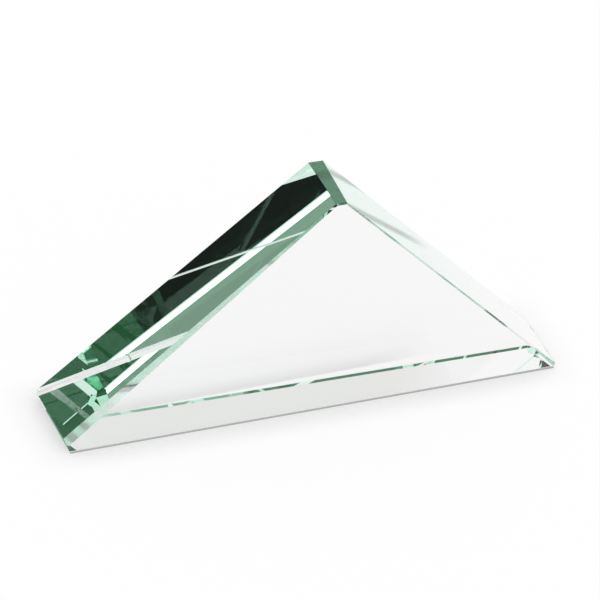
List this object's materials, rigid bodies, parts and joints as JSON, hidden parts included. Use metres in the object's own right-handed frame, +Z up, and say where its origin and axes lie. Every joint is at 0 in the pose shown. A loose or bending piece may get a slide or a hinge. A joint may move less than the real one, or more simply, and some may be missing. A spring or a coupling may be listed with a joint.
{
  "type": "right angle prism",
  "caption": "Solid right-angled glass prism slab with polished faces, a slightly tapered back side, ground toe and apex flats and bevelled edges, standing on its hypotenuse face.",
  "frame": {"origin": "middle of the hypotenuse face that the prism stands on, straight under the apex edge and half way through the thickness there", "axes": "+X along the hypotenuse face towards the right toe, +Y square to the front side, through the thickness towards the back side, +Z up to the apex edge"},
  "size_m": [0.1029, 0.0166, 0.052],
  "materials": {
    "glass": "polished"
  },
  "bodies": {
    "root": {"glass_prism": "glass"}
  },
  "joints": []
}
